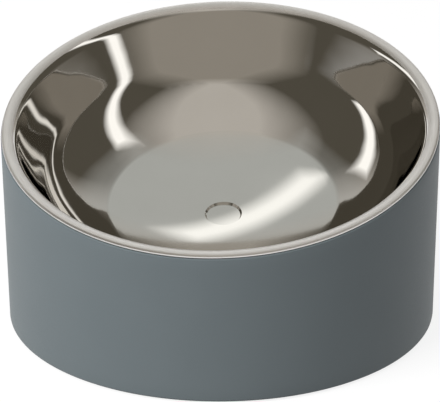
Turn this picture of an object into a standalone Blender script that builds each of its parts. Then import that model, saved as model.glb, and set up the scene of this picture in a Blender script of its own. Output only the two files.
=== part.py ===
"""Slant-top cat bowl: a polished steel bowl set at an angle into a coated, double-walled shell.

Units are metres and +Z is up. The origin is on the table, under the centre of the round shell.
The low side of the rim faces -Y and the high side +Y. Run it with blender --background --python part.py.
"""

import math

import bpy

MM = 0.001

# Shell: a straight round sleeve, cut off at a slant.
OUTER_DIAMETER = 150.0 * MM
SHELL_SHEET = 0.8 * MM
FOOT_CORNER_RADIUS = 1.0 * MM
RIM_TILT = math.radians(15.0)
RIM_MID_HEIGHT = 71.2 * MM

# Bowl: a drawn sheet, measured square to the rim plane and down from the lip's crown.
BOWL_SHEET = 0.8 * MM
LIP_INSET = 0.2 * MM
LIP_EDGE_RADIUS = 0.8 * MM
LIP_CROWN = 0.3 * MM
LIP_ROLL_RADIUS = 4.6 * MM
UPPER_WALL_ANGLE = math.radians(23.8)
BEND_DEPTH = 27.4 * MM
BEND_UPPER_REACH = 4.5 * MM
BEND_LOWER_REACH = 15.0 * MM
FLOOR_RADIUS = 40.5 * MM
FLOOR_DEPTH = 36.0 * MM
FLOOR_DISH = 6.2 * MM
SINK_RADIUS = 6.6 * MM
SINK_DEPTH = 0.8 * MM
SINK_SLOPE = 0.6 * MM

# Foot: a pressed plate that closes the shell, and a soft ring taped into its channel.
PLATE_SHEET = 0.8 * MM
PLATE_SKIRT = 6.0 * MM
PLATE_INNER_CORNER = 0.2 * MM
FOOT_PROUD = 0.5 * MM
FOOT_INSET = 10.0 * MM
FOOT_RING_WIDTH = 13.0 * MM
FOOT_RING_THICKNESS = 2.2 * MM
TREAD_LANDS = 3
TREAD_GROOVE = 1.6 * MM
TREAD_DEPTH = 0.5 * MM
BOND_THICKNESS = 0.5 * MM
BOND_MARGIN = 1.0 * MM
CHANNEL_DRAFT = 1.0 * MM
VENT_DIAMETER = 3.0 * MM

# Of a straight side, the share that a bend may take up.
CORNER_SHARE = 0.9

# Clearances between pieces that touch.
SEAT_GAP = 0.3 * MM
RING_CLEARANCE = 0.6 * MM

# Smoothness of the turned shapes.
TURN_STEPS = 64
VENT_STEPS = 24
BEND_STEPS = 8
ROLL_STEPS = 5
EDGE_STEPS = 3
DISH_STEPS = 5
MERGE_DISTANCE = 0.01 * MM

SHELL_RADIUS = OUTER_DIAMETER / 2
SHELL_BACK_HEIGHT = RIM_MID_HEIGHT + SHELL_RADIUS * math.tan(RIM_TILT)
PLATE_BOTTOM = FOOT_PROUD + SHELL_SHEET + SEAT_GAP
BOND_BOTTOM = FOOT_RING_THICKNESS + SEAT_GAP
CHANNEL_ROOF = BOND_BOTTOM + BOND_THICKNESS + SEAT_GAP
RING_OUTER_RADIUS = SHELL_RADIUS - FOOT_INSET
RING_INNER_RADIUS = RING_OUTER_RADIUS - FOOT_RING_WIDTH
RING_MID_RADIUS = (RING_OUTER_RADIUS + RING_INNER_RADIUS) / 2

STEEL_POLISHED = ((0.66, 0.65, 0.63), 0.08, 1.0)
STEEL_COATED = ((0.13, 0.155, 0.165), 0.45, 0.0)
STEEL_PLAIN = ((0.52, 0.52, 0.51), 0.35, 1.0)
SILICONE = ((0.035, 0.037, 0.040), 0.75, 0.0)
TAPE = ((0.62, 0.60, 0.55), 0.80, 0.0)


def arc(centre, radius, start, end, steps):
    """Points on an arc in the (r, z) half-plane, ends included; angles from +r towards +z."""
    angles = [start + (end - start) * i / steps for i in range(steps + 1)]
    return [(centre[0] + radius * math.cos(a), centre[1] + radius * math.sin(a)) for a in angles]


def offset_path(path, distance):
    """The path moved sideways, to its left, with mitred corners."""
    headings = []
    for (r0, z0), (r1, z1) in zip(path, path[1:]):
        headings.append(math.atan2(z1 - z0, r1 - r0))
    moved = []
    for i, (r, z) in enumerate(path):
        before = headings[max(i - 1, 0)]
        after = headings[min(i, len(headings) - 1)]
        half_turn = (after - before) / 2
        reach = distance / math.cos(half_turn)
        heading = before + half_turn
        moved.append((r - reach * math.sin(heading), z + reach * math.cos(heading)))
    return moved


def eased_corner(before, corner, after, reach_before, reach_after, steps):
    """Curve that takes a corner out, leaving its two sides at different distances from it."""
    sides = []
    for end, reach in ((before, reach_before), (after, reach_after)):
        share = min(reach / math.dist(corner, end), CORNER_SHARE)
        sides.append([c + (e - c) * share for c, e in zip(corner, end)])
    curve = []
    for i in range(steps + 1):
        t = i / steps
        weights = ((1 - t) ** 2, 2 * t * (1 - t), t**2)
        points = (sides[0], corner, sides[1])
        curve.append(tuple(sum(w * p[axis] for w, p in zip(weights, points)) for axis in (0, 1)))
    return curve


def bowl_profile():
    """Section of the drawn bowl, from the floor's centre up to the lip and back under the sheet."""
    floor_edge = (FLOOR_RADIUS, -FLOOR_DEPTH)

    # The floor is a shallow spherical dish with a flat-bottomed sink at its centre.
    dish_radius = (FLOOR_RADIUS**2 + FLOOR_DISH**2) / (2 * FLOOR_DISH)
    dish_centre = -FLOOR_DEPTH - FLOOR_DISH + dish_radius

    def dish(r):
        return r, dish_centre - math.sqrt(dish_radius**2 - r**2)

    sink_z = dish(SINK_RADIUS)[1] - SINK_DEPTH
    inside = [(0.0, sink_z), (SINK_RADIUS - SINK_SLOPE, sink_z), dish(SINK_RADIUS)]
    for i in range(1, DISH_STEPS):
        inside.append(dish(SINK_RADIUS + (FLOOR_RADIUS - SINK_RADIUS) * i / DISH_STEPS))
    inside.append(floor_edge)

    # The wall has a shallow lower part and a steep upper part, joined by a wide bend.
    crown = SHELL_RADIUS - LIP_INSET - LIP_EDGE_RADIUS - LIP_CROWN
    roll_centre = (crown, -LIP_ROLL_RADIUS)
    wall_top = arc(roll_centre, LIP_ROLL_RADIUS, math.pi - UPPER_WALL_ANGLE, math.pi / 2, ROLL_STEPS)
    wall_run = (BEND_DEPTH + wall_top[0][1]) * math.tan(UPPER_WALL_ANGLE)
    corner = (wall_top[0][0] - wall_run, -BEND_DEPTH)
    reaches = (BEND_LOWER_REACH, BEND_UPPER_REACH)
    inside += eased_corner(floor_edge, corner, wall_top[0], *reaches, BEND_STEPS)
    inside += wall_top

    # The lip rolls outwards and ends over the shell in a rounded edge.
    edge_centre = (crown + LIP_CROWN, -LIP_EDGE_RADIUS)
    edge = arc(edge_centre, LIP_EDGE_RADIUS, math.pi / 2, 0.0, EDGE_STEPS)
    under = offset_path(inside, -BOWL_SHEET)
    lip_end = (edge[-1][0], -max(BOWL_SHEET, LIP_EDGE_RADIUS))
    return inside + edge + ([lip_end] if BOWL_SHEET > LIP_EDGE_RADIUS else []) + under[::-1]


def shell_profile():
    """Section of the sleeve: down its face, round the foot and inwards, then back up inside."""
    top = SHELL_BACK_HEIGHT + LIP_ROLL_RADIUS
    lip = RING_OUTER_RADIUS + RING_CLEARANCE
    centre = (SHELL_RADIUS - FOOT_CORNER_RADIUS, FOOT_PROUD + FOOT_CORNER_RADIUS)
    face = [(SHELL_RADIUS, top)] + arc(centre, FOOT_CORNER_RADIUS, 0.0, -math.pi / 2, EDGE_STEPS)
    inner_radius = max(FOOT_CORNER_RADIUS - SHELL_SHEET, SEAT_GAP)
    inner_centre = (
        SHELL_RADIUS - SHELL_SHEET - inner_radius,
        FOOT_PROUD + SHELL_SHEET + inner_radius,
    )
    back = arc(inner_centre, inner_radius, -math.pi / 2, 0.0, EDGE_STEPS)
    return (
        face
        + [(lip, FOOT_PROUD), (lip, FOOT_PROUD + SHELL_SHEET)]
        + back
        + [(SHELL_RADIUS - SHELL_SHEET, top)]
    )


def plate_profile():
    """Section of the pressed plate: flat pan, channel for the ring, and an upturned skirt."""
    roof_in = RING_INNER_RADIUS - RING_CLEARANCE
    roof_out = RING_OUTER_RADIUS + RING_CLEARANCE
    skirt = SHELL_RADIUS - SHELL_SHEET - SEAT_GAP
    corner = max(FOOT_CORNER_RADIUS - SHELL_SHEET, PLATE_SHEET + PLATE_INNER_CORNER)
    under = [
        (0.0, PLATE_BOTTOM),
        (roof_in - CHANNEL_DRAFT, PLATE_BOTTOM),
        (roof_in, CHANNEL_ROOF),
        (roof_out, CHANNEL_ROOF),
        (roof_out + CHANNEL_DRAFT, PLATE_BOTTOM),
    ]
    under += arc((skirt - corner, PLATE_BOTTOM + corner), corner, -math.pi / 2, 0.0, EDGE_STEPS)
    under.append((skirt, PLATE_BOTTOM + PLATE_SKIRT))
    return offset_path(under, PLATE_SHEET) + under[::-1]


def ring_profile():
    """Section of the foot ring: flat on top, with round lands and grooves for grip underneath."""
    pitch = (FOOT_RING_WIDTH + TREAD_GROOVE) / TREAD_LANDS
    section = [(RING_INNER_RADIUS, FOOT_RING_THICKNESS), (RING_OUTER_RADIUS, FOOT_RING_THICKNESS)]
    for i in range(TREAD_LANDS):
        outer = RING_OUTER_RADIUS - i * pitch
        inner = outer - (pitch - TREAD_GROOVE)
        if i:
            section += [(outer + TREAD_GROOVE, TREAD_DEPTH), (outer, TREAD_DEPTH)]
        section += [(outer, 0.0), (inner, 0.0)]
    return section


def bond_profile():
    """Section of the tape ring, a little narrower than the foot ring under it."""
    outer = RING_OUTER_RADIUS - BOND_MARGIN
    inner = RING_INNER_RADIUS + BOND_MARGIN
    top = BOND_BOTTOM + BOND_THICKNESS
    return [(inner, top), (outer, top), (outer, BOND_BOTTOM), (inner, BOND_BOTTOM)]


def material(name, finish):
    colour, roughness, metallic = finish
    mat = bpy.data.materials.new(name)
    mat.use_nodes = True
    shader = mat.node_tree.nodes["Principled BSDF"]
    shader.inputs["Base Color"].default_value = (*colour, 1.0)
    shader.inputs["Roughness"].default_value = roughness
    shader.inputs["Metallic"].default_value = metallic
    return mat


def turned(name, profile, closed, collection, mat=None):
    """A turned piece: its section, spun round its own Z axis by a Screw modifier."""
    count = len(profile)
    edges = [(i, i + 1) for i in range(count - 1)]
    if closed:
        edges.append((count - 1, 0))
    mesh = bpy.data.meshes.new(name)
    mesh.from_pydata([(r, 0.0, z) for r, z in profile], edges, [])
    piece = bpy.data.objects.new(name, mesh)
    collection.objects.link(piece)
    if mat:
        mesh.materials.append(mat)
    screw = piece.modifiers.new("Turn", "SCREW")
    screw.axis = "Z"
    screw.angle = 2 * math.pi
    screw.steps = TURN_STEPS
    screw.render_steps = TURN_STEPS
    screw.use_merge_vertices = True
    screw.merge_threshold = MERGE_DISTANCE
    screw.use_smooth_shade = True
    return piece


def cut(piece, cutter, name):
    """Take the cutter away from the piece, and keep the cutter as a wire-drawn guide."""
    boolean = piece.modifiers.new(name, "BOOLEAN")
    boolean.operation = "DIFFERENCE"
    boolean.solver = "EXACT"
    boolean.object = cutter
    cutter.hide_render = True
    cutter.display_type = "WIRE"


def move_to(collection, piece):
    """Move a newly added primitive from the scene's own collection to the given one."""
    for other in list(piece.users_collection):
        other.objects.unlink(piece)
    collection.objects.link(piece)


def main():
    for old in list(bpy.data.objects):
        bpy.data.objects.remove(old, do_unlink=True)

    scene = bpy.context.scene
    pieces = bpy.data.collections.new("cat_bowl")
    cutters = bpy.data.collections.new("cutters")
    scene.collection.children.link(pieces)
    scene.collection.children.link(cutters)

    # The rim frame lies in the plane of the lip's crown: what follows the slant hangs on it.
    rim_frame = bpy.data.objects.new("rim_frame", None)
    rim_frame.location.z = RIM_MID_HEIGHT
    rim_frame.rotation_euler.x = RIM_TILT
    pieces.objects.link(rim_frame)

    # A slanted cut through a round sleeve is an ellipse, so the bowl is stretched up the slant.
    bowl = turned("inner_bowl", bowl_profile(), False, pieces, material("polished_steel", STEEL_POLISHED))
    bowl.parent = rim_frame
    bowl.scale.y = 1 / math.cos(RIM_TILT)

    # The sleeve is cut parallel to the rim, just under the lip.
    shell = turned("outer_shell", shell_profile(), True, pieces, material("coated_steel", STEEL_COATED))
    block = 2 * (OUTER_DIAMETER + SHELL_BACK_HEIGHT)
    bpy.ops.mesh.primitive_cube_add(size=block)
    slant_cutter = bpy.context.object
    slant_cutter.name = "slant_cutter"
    move_to(cutters, slant_cutter)
    slant_cutter.parent = rim_frame
    slant_cutter.location.z = block / 2 - max(BOWL_SHEET, LIP_EDGE_RADIUS) - SEAT_GAP
    cut(shell, slant_cutter, "Slant")

    # The plate sits on the sleeve's turned-in foot. Its vent opens into the channel's roof.
    plate = turned("base_plate", plate_profile(), False, pieces, material("plain_steel", STEEL_PLAIN))
    through = 2 * (CHANNEL_ROOF + PLATE_SHEET)
    bpy.ops.mesh.primitive_cylinder_add(vertices=VENT_STEPS, radius=VENT_DIAMETER / 2, depth=through)
    vent_cutter = bpy.context.object
    vent_cutter.name = "vent_cutter"
    move_to(cutters, vent_cutter)
    vent_cutter.location = (0.0, RING_MID_RADIUS, CHANNEL_ROOF)
    cut(plate, vent_cutter, "Vent")

    turned("bond_ring", bond_profile(), True, pieces, material("tape", TAPE))
    turned("foot_ring", ring_profile(), True, pieces, material("silicone", SILICONE))


main()
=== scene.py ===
import math

import bpy
from mathutils import Matrix, Vector


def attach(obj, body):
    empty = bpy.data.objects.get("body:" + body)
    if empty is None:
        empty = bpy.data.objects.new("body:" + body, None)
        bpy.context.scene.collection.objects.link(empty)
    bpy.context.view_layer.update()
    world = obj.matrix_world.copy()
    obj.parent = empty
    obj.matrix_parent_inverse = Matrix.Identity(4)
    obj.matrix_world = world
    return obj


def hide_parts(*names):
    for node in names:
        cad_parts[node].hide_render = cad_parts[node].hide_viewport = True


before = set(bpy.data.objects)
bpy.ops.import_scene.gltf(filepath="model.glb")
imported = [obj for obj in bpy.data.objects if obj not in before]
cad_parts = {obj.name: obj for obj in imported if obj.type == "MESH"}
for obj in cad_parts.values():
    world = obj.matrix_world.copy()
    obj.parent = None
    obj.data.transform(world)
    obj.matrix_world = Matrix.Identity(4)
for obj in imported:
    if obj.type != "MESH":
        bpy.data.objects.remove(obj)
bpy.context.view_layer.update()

MM = 0.001

# Sizes shared with the solids. The bowl is measured square to the rim plane, down from the lip's crown.
SHELL_RADIUS = 75.0 * MM
SHELL_SHEET = 0.8 * MM
FOOT_CORNER = 1.0 * MM
FOOT_PROUD = 0.5 * MM
RIM_TILT = math.radians(15.0)
RIM_MID_HEIGHT = 71.2 * MM
BOWL_SHEET = 0.8 * MM
LIP_INSET = 0.2 * MM
LIP_EDGE_RADIUS = 0.8 * MM
LIP_CROWN = 0.3 * MM
LIP_ROLL_RADIUS = 4.6 * MM
UPPER_WALL_ANGLE = math.radians(23.8)
BEND_DEPTH = 27.4 * MM
BEND_LOWER_REACH = 15.0 * MM
FLOOR_RADIUS = 40.5 * MM
FLOOR_DEPTH = 36.0 * MM
FLOOR_DISH = 6.2 * MM
SINK_RADIUS = 6.6 * MM
SINK_DEPTH = 0.8 * MM
SINK_SLOPE = 0.6 * MM
SEAT_GAP = 0.3 * MM
RING_OUTER = 65.0 * MM
RING_INNER = 52.0 * MM
RING_CLEARANCE = 0.6 * MM
RING_THICKNESS = 2.2 * MM
TREAD_LANDS = 3
TREAD_GROOVE = 1.6 * MM
TREAD_DEPTH = 0.5 * MM

# The bend runs further up the wall than in the solids, where it reaches 4.5 mm, so reflections flow over it.
BEND_UPPER_REACH = 9.0 * MM

# Finish of the meshes. Softness is in samples to each side of a point.
SEGMENTS = 256
SAMPLE_STEP = 0.2 * MM
LONGEST_SPAN = 1.8 * MM
SHARPEST_TURN = math.radians(2.5)
FLOOR_SOFTNESS = 3
BEND_SOFTNESS = 8
SOFT_ROUNDS = 2
SHEET_EDGE_RADIUS = 0.3 * MM
RUBBER_EDGE_RADIUS = 0.25 * MM
EDGE_STEPS = 4
FACE_ROWS = 12
CORNER_SHARE = 0.45
SAME_PLACE = 1e-7
LIP_POLISH_RADIUS = 70.6 * MM
SHARP_ANGLE = math.radians(40.0)

# Camera, as fitted to the outline of the photographed bowl.
IMAGE_WIDTH = 440
CAMERA_AZIMUTH = math.radians(4.85)
CAMERA_ELEVATION = math.radians(21.76)
CAMERA_DISTANCE = 622.5 * MM
CAMERA_ROLL = math.radians(-0.36)
CAMERA_TARGET = Vector((-0.27 * MM, 0.0, 39.65 * MM))
FOCAL_PIXELS = 1783.6
SENSOR_WIDTH = 36.0

# Light. Directions are a bearing to the camera's right and an elevation, in degrees.
WHITE = (1.0, 1.0, 1.0)
AMBIENT = (0.56, 0.56, 0.56)
KEY_DIRECTION = (-52.0, 36.0)
KEY_DISTANCE = 1.6
KEY_SIZE = 0.9
KEY_LEVEL = 1.02
FLOOR_SIZE = 20.0
FLOOR_SHADE = 0.18
FLOOR_DROP = 0.05 * MM
FLOOR_GLOW = 0.838

# Soft boxes and flags round the bowl, which the polished steel mirrors. Each is a strip on a sphere that
# runs from one direction to another.
CARD_DISTANCE = 1.5
CARD_GAP = 0.03
CARD_STEP = 5.0
FADE_STEPS = 4
BOWL_MIDDLE = 55.0 * MM
BOX_WHITE = (1.45, 1.43, 1.38)
PANEL_WHITE = (0.55, 0.555, 0.53)
PANEL_GREY = (0.35, 0.32, 0.275)
CANOPY_GREY = (0.60, 0.565, 0.515)
FLAG_DARK = (0.10, 0.09, 0.07)
# Name, colour, start, end, width and softness of the edges, the last two in degrees.
CARDS = (
    ("canopy", CANOPY_GREY, (-90, 4), (90, 4), 110, 6),
    ("front_panel", PANEL_GREY, (-60, 10), (60, 10), 48, 10),
    ("left_flag", FLAG_DARK, (-40, 18), (-140, 28), 66, 20),
    ("right_flag", FLAG_DARK, (44, 18), (145, 28), 66, 20),
    ("back_panel", PANEL_WHITE, (140, 50), (220, 50), 40, 14),
    ("back_box", BOX_WHITE, (-150, 56), (175, 40), 6, 4),
    ("left_box", BOX_WHITE, (-95, 12), (-140, 38), 9, 4),
    ("right_box", BOX_WHITE, (60, 2), (112, 62), 7, 4),
)


def sampled_line(start, end):
    """Evenly spaced points from start up to, but not including, end."""
    count = max(1, round(math.dist(start, end) / SAMPLE_STEP))
    return [
        (start[0] + (end[0] - start[0]) * i / count, start[1] + (end[1] - start[1]) * i / count)
        for i in range(count)
    ]


def sampled_arc(centre, radius, start, end):
    """Evenly spaced points on an arc, its last point left out."""
    count = max(1, round(radius * abs(end - start) / SAMPLE_STEP))
    angles = [start + (end - start) * i / count for i in range(count)]
    return [(centre[0] + radius * math.cos(a), centre[1] + radius * math.sin(a)) for a in angles]


def softened(path, start, end, reach):
    """The path with the corners between two of its points rounded by averaging."""
    for _ in range(SOFT_ROUNDS):
        smooth = list(path)
        for i in range(max(start, reach), min(end, len(path) - reach)):
            window = path[i - reach : i + reach + 1]
            smooth[i] = tuple(sum(p[k] for p in window) / len(window) for k in (0, 1))
        path = smooth
    return path


def thinned(path):
    """Fewer points: a point stays where the path has turned or run far enough since the last."""
    kept = [path[0]]
    heading = None
    for i in range(1, len(path) - 1):
        ahead = math.atan2(path[i + 1][1] - path[i][1], path[i + 1][0] - path[i][0])
        if heading is None:
            heading = ahead
        if abs(ahead - heading) > SHARPEST_TURN or math.dist(path[i], kept[-1]) > LONGEST_SPAN:
            kept.append(path[i])
            heading = ahead
    return kept + [path[-1]]


def offset_path(path, distance):
    """The path moved sideways, to its left."""
    moved = []
    for i, (r, z) in enumerate(path):
        before = path[max(i - 1, 0)]
        after = path[min(i + 1, len(path) - 1)]
        heading = math.atan2(after[1] - before[1], after[0] - before[0])
        moved.append((max(0.0, r - distance * math.sin(heading)), z + distance * math.cos(heading)))
    return moved


def rounded(corners, radius):
    """A closed section with an arc at each corner."""
    section = []
    count = len(corners)
    for i, corner in enumerate(corners):
        before = Vector(corners[i - 1]) - Vector(corner)
        after = Vector(corners[(i + 1) % count]) - Vector(corner)
        reach = min(radius, CORNER_SHARE * before.length, CORNER_SHARE * after.length)
        start = Vector(corner) + before.normalized() * reach
        end = Vector(corner) + after.normalized() * reach
        for k in range(EDGE_STEPS + 1):
            t = k / EDGE_STEPS
            point = start * (1 - t) ** 2 + Vector(corner) * 2 * t * (1 - t) + end * t**2
            section.append(tuple(point))
    return section


def bowl_path():
    """Inside of the bowl from the floor's centre to the lip's outer edge."""
    floor_edge = (FLOOR_RADIUS, -FLOOR_DEPTH)
    dish_radius = (FLOOR_RADIUS**2 + FLOOR_DISH**2) / (2 * FLOOR_DISH)
    dish_centre = (0.0, -FLOOR_DEPTH - FLOOR_DISH + dish_radius)

    def dish_angle(r):
        return -math.acos(r / dish_radius)

    def dish_point(r, drop=0.0):
        return (r, dish_centre[1] - drop + dish_radius * math.sin(dish_angle(r)))

    # The sink's floor follows the dish, so that its front edge hardly shows. In the solids it is flat.
    sink_edge = dish_point(SINK_RADIUS)
    sink_corner = dish_point(SINK_RADIUS - SINK_SLOPE, SINK_DEPTH)
    sink_centre = (0.0, dish_centre[1] - SINK_DEPTH)
    path = sampled_arc(sink_centre, dish_radius, -math.pi / 2, dish_angle(sink_corner[0]))
    path += sampled_line(sink_corner, sink_edge)
    sink_end = len(path)
    path += sampled_arc(dish_centre, dish_radius, dish_angle(SINK_RADIUS), dish_angle(FLOOR_RADIUS))
    floor_end = len(path)

    crown = SHELL_RADIUS - LIP_INSET - LIP_EDGE_RADIUS - LIP_CROWN
    roll_start = math.pi - UPPER_WALL_ANGLE
    roll_centre = (crown, -LIP_ROLL_RADIUS)
    wall_top = (
        crown + LIP_ROLL_RADIUS * math.cos(roll_start),
        -LIP_ROLL_RADIUS + LIP_ROLL_RADIUS * math.sin(roll_start),
    )
    wall_run = (BEND_DEPTH + wall_top[1]) * math.tan(UPPER_WALL_ANGLE)
    corner = Vector((wall_top[0] - wall_run, -BEND_DEPTH))
    bend_start = corner + (Vector(floor_edge) - corner).normalized() * BEND_LOWER_REACH
    bend_end = corner + (Vector(wall_top) - corner).normalized() * BEND_UPPER_REACH
    path += sampled_line(floor_edge, bend_start)
    path = softened(path, sink_end + 2 * FLOOR_SOFTNESS, floor_end + 2 * FLOOR_SOFTNESS, FLOOR_SOFTNESS)
    bend_at = len(path)
    count = round((BEND_LOWER_REACH + BEND_UPPER_REACH) / SAMPLE_STEP)
    for i in range(count):
        t = i / count
        path.append(tuple(bend_start * (1 - t) ** 2 + corner * 2 * t * (1 - t) + bend_end * t**2))
    path += sampled_line(bend_end, wall_top)
    path = softened(path, bend_at, bend_at + count + 2 * BEND_SOFTNESS, BEND_SOFTNESS)
    path += sampled_arc(roll_centre, LIP_ROLL_RADIUS, roll_start, math.pi / 2)
    edge_centre = (crown + LIP_CROWN, -LIP_EDGE_RADIUS)
    path += sampled_line((crown, 0.0), (crown + LIP_CROWN, 0.0))
    path += sampled_arc(edge_centre, LIP_EDGE_RADIUS, math.pi / 2, 0.0)
    path.append((edge_centre[0] + LIP_EDGE_RADIUS, -LIP_EDGE_RADIUS))
    return path


def skinned_mesh(name, ribs, closed, zone=None):
    """A mesh over ribs that stand round the Z axis. zone picks the material of each row of faces."""
    count = len(ribs)
    vertices, rings = [], []
    for ring in zip(*ribs):
        start = len(vertices)
        if math.dist(ring[0], ring[1]) < SAME_PLACE:
            vertices.append(ring[0])
            rings.append([start] * count)
        else:
            vertices += ring
            rings.append(list(range(start, start + count)))
    faces, zones = [], []
    pairs = list(zip(rings, rings[1:])) + ([(rings[-1], rings[0])] if closed else [])
    for i, (low, high) in enumerate(pairs):
        for k in range(count):
            n = (k + 1) % count
            corners = [low[k], high[k], high[n], low[n]]
            face = [c for j, c in enumerate(corners) if c not in corners[:j]]
            if len(face) > 2:
                faces.append(face)
                zones.append(zone(i) if zone else 0)
    mesh = bpy.data.meshes.new(name)
    mesh.from_pydata(vertices, [], faces)
    mesh.polygons.foreach_set("material_index", zones)
    mesh.polygons.foreach_set("use_smooth", [True] * len(faces))
    mesh.validate()
    mesh.update()
    mesh.set_sharp_from_angle(angle=SHARP_ANGLE)
    return mesh


def all_turns():
    return [2 * math.pi * k / SEGMENTS for k in range(SEGMENTS)]


def turned_ribs(section):
    """The ribs of a piece turned from a section of (r, z) points."""
    return [[(r * math.cos(t), r * math.sin(t), z) for r, z in section] for t in all_turns()]


def piece_from(mesh, node, materials):
    """A piece of the object that stands for one CAD node."""
    piece = bpy.data.objects.new(mesh.name, mesh)
    bpy.context.scene.collection.objects.link(piece)
    for mat in materials:
        mesh.materials.append(mat)
    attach(piece, "root")
    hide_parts(node)
    return piece


def add(tree, kind, values=None, links=None, **settings):
    """A shader node with its settings, input values and links."""
    made = tree.nodes.new(kind)
    for key, value in settings.items():
        setattr(made, key, value)
    for key, value in (values or {}).items():
        made.inputs[key].default_value = value
    for key, socket in (links or {}).items():
        tree.links.new(socket, made.inputs[key])
    return made


def new_material(name, values):
    """A material with a Principled shader whose plain values are set on its own sockets."""
    mat = bpy.data.materials.new(name)
    mat.use_nodes = True
    shader = mat.node_tree.nodes["Principled BSDF"]
    for key, value in values.items():
        shader.inputs[key].default_value = value
    return mat, mat.node_tree, shader


def object_coords(tree):
    return add(tree, "ShaderNodeTexCoord").outputs["Object"]


def bowl_coords(tree):
    """Coordinates on the bowl's own axis, with the stretch up the slant taken out."""
    mapping = add(tree, "ShaderNodeMapping", None, {"Vector": object_coords(tree)}, vector_type="TEXTURE")
    mapping.inputs["Location"].default_value = (0.0, 0.0, RIM_MID_HEIGHT)
    mapping.inputs["Rotation"].default_value = (RIM_TILT, 0.0, 0.0)
    mapping.inputs["Scale"].default_value = (1.0, 1 / math.cos(RIM_TILT), 1.0)
    return mapping.outputs["Vector"]


def noise(tree, vector, scale, detail=2.0, roughness=0.5):
    values = {"Scale": scale, "Detail": detail, "Roughness": roughness}
    return add(tree, "ShaderNodeTexNoise", values, {"Vector": vector}).outputs["Fac"]


def vector_math(tree, operation, values=None, links=None):
    return add(tree, "ShaderNodeVectorMath", values, links, operation=operation)


def spun_coords(tree, coords, across, around):
    """Coordinates for marks that run round the Z axis: fine across them, slow along them."""
    flat = vector_math(tree, "MULTIPLY", {1: (1.0, 1.0, 0.0)}, {0: coords}).outputs[0]
    radius = vector_math(tree, "LENGTH", None, {0: flat}).outputs["Value"]
    heading = vector_math(tree, "NORMALIZE", None, {0: flat}).outputs[0]
    slow = vector_math(tree, "SCALE", {"Scale": around}, {0: heading}).outputs[0]
    height = add(tree, "ShaderNodeSeparateXYZ", None, {0: coords}).outputs["Z"]
    along = add(tree, "ShaderNodeMath", None, {0: radius, 1: height}, operation="SUBTRACT")
    fine = add(tree, "ShaderNodeMath", {1: across}, {0: along.outputs[0]}, operation="MULTIPLY")
    lift = add(tree, "ShaderNodeCombineXYZ", None, {"Z": fine.outputs[0]}).outputs[0]
    return vector_math(tree, "ADD", None, {0: slow, 1: lift}).outputs[0]


def spun_lines(tree, coords, across, around):
    return noise(tree, spun_coords(tree, coords, across, around), scale=1.0, detail=3.0)


def ranged(tree, socket, low, high, start=0.3, end=0.7):
    """The middle part of a noise value, spread from low to high."""
    values = {"From Min": start, "From Max": end, "To Min": low, "To Max": high}
    return add(tree, "ShaderNodeMapRange", values, {"Value": socket}).outputs["Result"]


def blended(tree, factor, first, second):
    """A colour between two others."""
    mix = add(tree, "ShaderNodeMix", None, {"Factor": factor}, data_type="RGBA")
    ends = {"A": first, "B": second}
    for socket in mix.inputs:
        if socket.type == "RGBA":
            socket.default_value = (*ends[socket.name], 1.0)
    return next(socket for socket in mix.outputs if socket.type == "RGBA")


def tinted(tree, shader, factor, first, second):
    tree.links.new(blended(tree, factor, first, second), shader.inputs["Base Color"])


def glossed(tree, shader, factor, low, high):
    tree.links.new(ranged(tree, factor, low, high), shader.inputs["Roughness"])


def bumped(tree, shader, height, distance):
    bump = add(tree, "ShaderNodeBump", {"Strength": 1.0, "Distance": distance}, {"Height": height})
    tree.links.new(bump.outputs["Normal"], shader.inputs["Normal"])


def mirror_steel():
    """Polished wall: a mirror with a little unevenness left by the drawing and faint polishing lines."""
    mat, tree, shader = new_material("steel_mirror", {"Metallic": 1.0})
    lines = spun_lines(tree, bowl_coords(tree), across=2600.0, around=5.0)
    cloud = noise(tree, object_coords(tree), scale=60.0, detail=3.0)
    tinted(tree, shader, cloud, (0.66, 0.645, 0.62), (0.71, 0.695, 0.67))
    glossed(tree, shader, lines, low=0.03, high=0.05)
    waves = noise(tree, object_coords(tree), scale=45.0, detail=2.0, roughness=0.3)
    bumped(tree, shader, waves, distance=0.22 * MM)
    return mat


def satin_lip():
    """Brushed lip: lines run round the rim, and the sheen spreads across them."""
    mat, tree, shader = new_material("steel_lip", {"Metallic": 1.0, "Anisotropic": 0.4})
    tangent = add(tree, "ShaderNodeTangent", direction_type="RADIAL", axis="Z")
    tree.links.new(tangent.outputs[0], shader.inputs["Tangent"])
    lines = spun_lines(tree, bowl_coords(tree), across=3200.0, around=9.0)
    tinted(tree, shader, lines, (0.80, 0.785, 0.77), (0.87, 0.855, 0.84))
    glossed(tree, shader, lines, low=0.40, high=0.52)
    bumped(tree, shader, lines, distance=0.002 * MM)
    return mat


def satin_floor():
    """Fine-turned floor: satin, with rings and a few faint smudges."""
    mat, tree, shader = new_material("steel_floor", {"Metallic": 1.0})
    lines = spun_lines(tree, bowl_coords(tree), across=2400.0, around=6.0)
    smudge = noise(tree, object_coords(tree), scale=45.0, detail=4.0)
    tinted(tree, shader, smudge, (0.63, 0.625, 0.60), (0.69, 0.685, 0.66))
    glossed(tree, shader, smudge, low=0.06, high=0.09)
    bumped(tree, shader, lines, distance=0.001 * MM)
    return mat


def powder_coat():
    """Matte blue-grey coat with the fine grain of sprayed and baked powder."""
    mat, tree, shader = new_material("coat", {"Specular IOR Level": 0.4})
    grain = noise(tree, object_coords(tree), scale=2600.0, detail=3.0, roughness=0.6)
    cloud = noise(tree, object_coords(tree), scale=55.0, detail=3.0)
    tinted(tree, shader, cloud, (0.124, 0.149, 0.159), (0.136, 0.162, 0.172))
    glossed(tree, shader, grain, low=0.46, high=0.58)
    bumped(tree, shader, grain, distance=0.02 * MM)
    return mat


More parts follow.
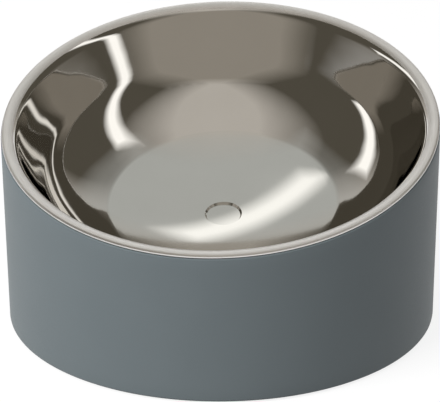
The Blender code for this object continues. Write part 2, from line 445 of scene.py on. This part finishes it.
def silicone():
    """Soft black ring: dull, with fine dust caught in its grain."""
    mat, tree, shader = new_material("rubber", {"Specular IOR Level": 0.3})
    grain = noise(tree, object_coords(tree), scale=1800.0, detail=3.0, roughness=0.6)
    dust = noise(tree, object_coords(tree), scale=90.0, detail=4.0)
    tinted(tree, shader, dust, (0.030, 0.032, 0.035), (0.050, 0.052, 0.054))
    glossed(tree, shader, grain, low=0.68, high=0.82)
    bumped(tree, shader, grain, distance=0.02 * MM)
    return mat


def brushed_plate():
    """Pressed plate: bare steel with turned lines."""
    mat, tree, shader = new_material("steel_plate", {"Metallic": 1.0})
    lines = spun_lines(tree, object_coords(tree), across=1800.0, around=4.0)
    cloud = noise(tree, object_coords(tree), scale=40.0, detail=3.0)
    tinted(tree, shader, cloud, (0.49, 0.49, 0.48), (0.56, 0.56, 0.55))
    glossed(tree, shader, lines, low=0.28, high=0.42)
    bumped(tree, shader, lines, distance=0.003 * MM)
    return mat


def foam_tape():
    """Tape between plate and ring: pale foam with open cells."""
    mat, tree, shader = new_material("foam", {"Specular IOR Level": 0.2})
    cells = noise(tree, object_coords(tree), scale=2200.0, detail=2.0)
    tinted(tree, shader, cells, (0.56, 0.54, 0.49), (0.66, 0.64, 0.59))
    glossed(tree, shader, cells, low=0.74, high=0.86)
    bumped(tree, shader, cells, distance=0.03 * MM)
    return mat


def make_bowl():
    """The drawn bowl, spun about its own axis and stretched up the slant to fill the round sleeve."""
    inside = thinned(bowl_path())
    crown = SHELL_RADIUS - LIP_INSET - LIP_EDGE_RADIUS - LIP_CROWN
    under = [p for p in offset_path(inside, -BOWL_SHEET) if p[0] < crown and p[1] < -BOWL_SHEET]
    under[0] = (0.0, under[0][1])
    section = inside + [(crown, -BOWL_SHEET)] + under[::-1]
    stretch = 1 / math.cos(RIM_TILT)
    rim = Matrix.Translation((0.0, 0.0, RIM_MID_HEIGHT)) @ Matrix.Rotation(RIM_TILT, 4, "X")

    def place(r, z, turn):
        return tuple(rim @ Vector((r * math.cos(turn), r * math.sin(turn) * stretch, z)))

    def zone(i):
        """The wall is 0, the floor 1, the lip and the hidden side 2."""
        if i >= len(inside) or section[i][0] >= LIP_POLISH_RADIUS:
            return 2
        return 1 if section[i][0] < FLOOR_RADIUS else 0

    ribs = [[place(r, z, turn) for r, z in section] for turn in all_turns()]
    mesh = skinned_mesh("bowl", ribs, False, zone)
    return piece_from(mesh, "inner_bowl", [mirror_steel(), satin_floor(), satin_lip()])


def make_shell():
    """The sleeve: straight face, slanted top edge just under the lip, and a turned-in foot."""
    slope = math.tan(RIM_TILT)
    top = RIM_MID_HEIGHT - (LIP_EDGE_RADIUS + SEAT_GAP) / math.cos(RIM_TILT)
    inner = SHELL_RADIUS - SHELL_SHEET
    foot_lip = RING_OUTER + RING_CLEARANCE
    edge = SHEET_EDGE_RADIUS
    quarter = [math.pi / 2 * k / EDGE_STEPS for k in range(EDGE_STEPS + 1)]
    low = FOOT_PROUD + FOOT_CORNER
    # Each point has a radius, a share of the way from foot to slanted edge, and a shift from there.
    section = []
    for row in range(FACE_ROWS):
        section.append((SHELL_RADIUS, (row / FACE_ROWS, 0.0)))
    for a in quarter:
        section.append((SHELL_RADIUS - edge + edge * math.cos(a), (1.0, edge * math.sin(a) - edge)))
    for a in reversed(quarter):
        section.append((inner + edge - edge * math.cos(a), (1.0, edge * math.sin(a) - edge)))
    for row in reversed(range(FACE_ROWS)):
        section.append((inner, (row / FACE_ROWS, 0.0)))
    bend = FOOT_CORNER - SHELL_SHEET
    for a in quarter[1:]:
        section.append((inner - bend + bend * math.cos(a), (0.0, -bend * math.sin(a))))
    section += [(foot_lip, (0.0, SHELL_SHEET - FOOT_CORNER)), (foot_lip, (0.0, -FOOT_CORNER))]
    for a in reversed(quarter[1:]):
        reach = SHELL_RADIUS - FOOT_CORNER + FOOT_CORNER * math.cos(a)
        section.append((reach, (0.0, -FOOT_CORNER * math.sin(a))))

    def place(r, share, shift, turn):
        rim = top + r * math.sin(turn) * slope
        return r * math.cos(turn), r * math.sin(turn), low + share * (rim - low) + shift

    ribs = [[place(r, share, shift, turn) for r, (share, shift) in section] for turn in all_turns()]
    mesh = skinned_mesh("shell", ribs, True)
    return piece_from(mesh, "outer_shell", [powder_coat()])


def make_foot_ring():
    """The soft ring, with round-edged lands and grooves underneath."""
    pitch = (RING_OUTER - RING_INNER + TREAD_GROOVE) / TREAD_LANDS
    corners = [(RING_INNER, RING_THICKNESS), (RING_OUTER, RING_THICKNESS)]
    for i in range(TREAD_LANDS):
        outer = RING_OUTER - i * pitch
        if i:
            corners += [(outer + TREAD_GROOVE, TREAD_DEPTH), (outer, TREAD_DEPTH)]
        corners += [(outer, 0.0), (outer - pitch + TREAD_GROOVE, 0.0)]
    mesh = skinned_mesh("grip_ring", turned_ribs(rounded(corners, RUBBER_EDGE_RADIUS)), True)
    return piece_from(mesh, "foot_ring", [silicone()])


def dress_node(node, mat):
    """A better material on a CAD node that stays."""
    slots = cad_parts[node].data.materials
    slots.clear()
    slots.append(mat)


make_bowl()
make_shell()
make_foot_ring()
dress_node("base_plate", brushed_plate())
dress_node("bond_ring", foam_tape())


def make_camera():
    data = bpy.data.cameras.new("camera")
    data.sensor_width = SENSOR_WIDTH
    data.lens = FOCAL_PIXELS * SENSOR_WIDTH / IMAGE_WIDTH
    camera = bpy.data.objects.new("camera", data)
    bpy.context.scene.collection.objects.link(camera)
    ahead = Vector((0.0, math.cos(CAMERA_ELEVATION), -math.sin(CAMERA_ELEVATION)))
    right = Vector((1.0, 0.0, 0.0))
    up = right.cross(ahead)
    axes = Matrix((right, up, -ahead)).transposed().to_4x4()
    place = Matrix.Translation(CAMERA_TARGET - CAMERA_DISTANCE * ahead)
    turn = Matrix.Rotation(CAMERA_AZIMUTH, 4, "Z")
    camera.matrix_world = turn @ place @ axes @ Matrix.Rotation(CAMERA_ROLL, 4, "Z")
    bpy.context.scene.camera = camera


def seen_directly(tree):
    """1 for the rays of the camera, of mirrors and of glass, 0 for the light that falls on the object."""
    path = add(tree, "ShaderNodeLightPath")
    shiny = add(
        tree,
        "ShaderNodeMath",
        None,
        {0: path.outputs["Is Glossy Ray"], 1: path.outputs["Is Transmission Ray"]},
        operation="MAXIMUM",
    )
    links = {0: path.outputs["Is Camera Ray"], 1: shiny.outputs[0]}
    return add(tree, "ShaderNodeMath", None, links, operation="MAXIMUM").outputs[0]


def make_world():
    """A white surround that lights the object at an even, lower level."""
    world = bpy.data.worlds.new("studio")
    bpy.context.scene.world = world
    world.use_nodes = True
    tree = world.node_tree
    back = tree.nodes["Background"]
    tree.links.new(blended(tree, seen_directly(tree), AMBIENT, WHITE), back.inputs["Color"])
    back.inputs["Strength"].default_value = 1.0


def make_floor():
    """A white floor that keeps the shadow, a hair below the foot ring so that the two never coincide."""
    mesh = bpy.data.meshes.new("floor")
    half = FLOOR_SIZE / 2
    corners = [(x, y, -FLOOR_DROP) for x, y in ((-half, -half), (half, -half), (half, half), (-half, half))]
    mesh.from_pydata(corners, [], [(0, 1, 2, 3)])
    floor = bpy.data.objects.new("floor", mesh)
    bpy.context.scene.collection.objects.link(floor)
    mat = bpy.data.materials.new("floor")
    mat.use_nodes = True
    tree = mat.node_tree
    tree.nodes.remove(tree.nodes["Principled BSDF"])
    matte = add(tree, "ShaderNodeBsdfDiffuse", {"Color": (FLOOR_SHADE, FLOOR_SHADE, FLOOR_SHADE, 1.0)})
    glow = add(tree, "ShaderNodeEmission", {"Color": (*WHITE, 1.0), "Strength": FLOOR_GLOW})
    lit = add(tree, "ShaderNodeAddShader", None, {0: matte.outputs[0], 1: glow.outputs[0]})
    links = {0: seen_directly(tree), 1: matte.outputs[0], 2: lit.outputs[0]}
    mix = add(tree, "ShaderNodeMixShader", None, links)
    tree.links.new(mix.outputs[0], tree.nodes["Material Output"].inputs["Surface"])
    mesh.materials.append(mat)


def toward(bearing, elevation):
    """The unit vector of a direction, with the camera at -Y."""
    turn = math.radians(bearing)
    rise = math.radians(elevation)
    return Vector((math.sin(turn) * math.cos(rise), -math.cos(turn) * math.cos(rise), math.sin(rise)))


def make_key():
    """The one lamp: large, soft and left out of reflections."""
    data = bpy.data.lights.new("key", "AREA")
    data.size = KEY_SIZE
    data.energy = KEY_LEVEL * math.pi**2 * KEY_DISTANCE**2
    lamp = bpy.data.objects.new("key", data)
    bpy.context.scene.collection.objects.link(lamp)
    back = Matrix.Rotation(CAMERA_AZIMUTH, 3, "Z") @ toward(*KEY_DIRECTION)
    lamp.location = CAMERA_TARGET + back * KEY_DISTANCE
    lamp.rotation_euler = (-back).to_track_quat("-Z", "Y").to_euler()
    lamp.visible_glossy = False


def soft_stops(span, softness):
    """Angles across a card and the cover at each, which fades out at both edges."""
    inset = softness / 2
    fade = [(softness * i / FADE_STEPS - inset, i / FADE_STEPS) for i in range(FADE_STEPS)]
    count = max(1, math.ceil((span - softness) / CARD_STEP))
    inner = [(inset + (span - softness) * i / count, 1.0) for i in range(count + 1)]
    return fade + inner + [(span - angle, cover) for angle, cover in reversed(fade)]


def card_grid(radius, start, end, width, softness):
    """The points of a card, row by row, each with its cover, and the length of a row."""
    first = toward(*start)
    last = toward(*end)
    pole = first.cross(last).normalized()
    across = soft_stops(width, softness)
    points = []
    for angle, end_cover in soft_stops(math.degrees(first.angle(last)), softness):
        middle = Matrix.Rotation(math.radians(angle), 3, pole) @ first
        for offset, side_cover in across:
            lean = math.radians(offset - width / 2)
            point = (middle * math.cos(lean) + pole * math.sin(lean)) * radius
            points.append((point + Vector((0.0, 0.0, BOWL_MIDDLE)), min(end_cover, side_cover)))
    return points, len(across)


def make_cards():
    """One mesh of all the cards, each nearer than the one before, seen only in reflections."""
    vertices, faces, paint = [], [], []
    for level, (name, colour, *shape) in enumerate(CARDS):
        points, row = card_grid(CARD_DISTANCE - level * CARD_GAP, *shape)
        base = len(vertices)
        vertices += [point for point, cover in points]
        paint += [(*colour, cover) for point, cover in points]
        for i in range(base, base + len(points) - row):
            if (i - base + 1) % row:
                faces.append((i, i + 1, i + row + 1, i + row))
    mesh = bpy.data.meshes.new("cards")
    mesh.from_pydata(vertices, [], faces)
    layer = mesh.color_attributes.new("paint", "FLOAT_COLOR", "POINT")
    layer.data.foreach_set("color", [value for row in paint for value in row])
    cards = bpy.data.objects.new("cards", mesh)
    bpy.context.scene.collection.objects.link(cards)
    cards.rotation_euler.z = CAMERA_AZIMUTH
    cards.visible_camera = False
    cards.visible_diffuse = False
    cards.visible_shadow = False
    cards.visible_transmission = False
    mat = bpy.data.materials.new("cards")
    mat.use_nodes = True
    tree = mat.node_tree
    tree.nodes.remove(tree.nodes["Principled BSDF"])
    colour = add(tree, "ShaderNodeAttribute", attribute_name="paint")
    glow = add(tree, "ShaderNodeEmission", None, {"Color": colour.outputs["Color"]})
    clear = add(tree, "ShaderNodeBsdfTransparent")
    links = {0: colour.outputs["Alpha"], 1: clear.outputs[0], 2: glow.outputs[0]}
    mix = add(tree, "ShaderNodeMixShader", None, links)
    tree.links.new(mix.outputs[0], tree.nodes["Material Output"].inputs["Surface"])
    mesh.materials.append(mat)


make_camera()
make_world()
make_floor()
make_key()
make_cards()
bpy.context.scene.view_settings.view_transform = "Standard"
